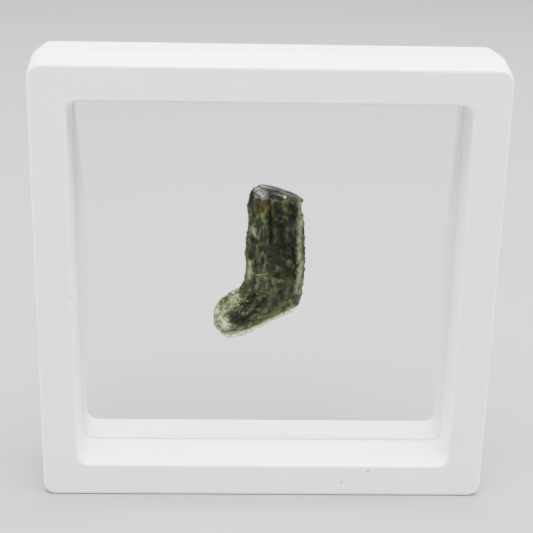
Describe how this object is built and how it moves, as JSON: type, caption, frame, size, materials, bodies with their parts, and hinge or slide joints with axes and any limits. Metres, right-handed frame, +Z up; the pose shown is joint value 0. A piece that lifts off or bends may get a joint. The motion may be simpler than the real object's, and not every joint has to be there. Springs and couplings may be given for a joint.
{
  "type": "moldavite in a hinged floating display frame",
  "caption": "Boot-shaped green natural glass held between two clear stretched films in a square white frame that opens like a book.",
  "frame": {"origin": "on the surface that the frame stands on, under the middle of its width and depth", "axes": "+Z up, +X towards the hinged side, -Y out of the front half of the frame"},
  "size_m": [0.0913, 0.02, 0.0895],
  "materials": {
    "white_plastic": "satin white with a fine moulded grain",
    "clear_film": "clear, glossy, stretched",
    "moldavite_glass": "dark bottle green, translucent at thin edges, sculpted and slightly glossy"
  },
  "bodies": {
    "back": {"back_frame": "white_plastic", "back_film": "clear_film", "moldavite": "moldavite_glass"},
    "front": {"front_frame": "white_plastic", "front_film": "clear_film"}
  },
  "joints": [
    {"name": "hinge", "type": "hinge", "parent": "back", "child": "front", "pos_m": [0.04515, 0.001, 0], "axis": [0, 0, 1], "range_deg": [0, 180]}
  ]
}
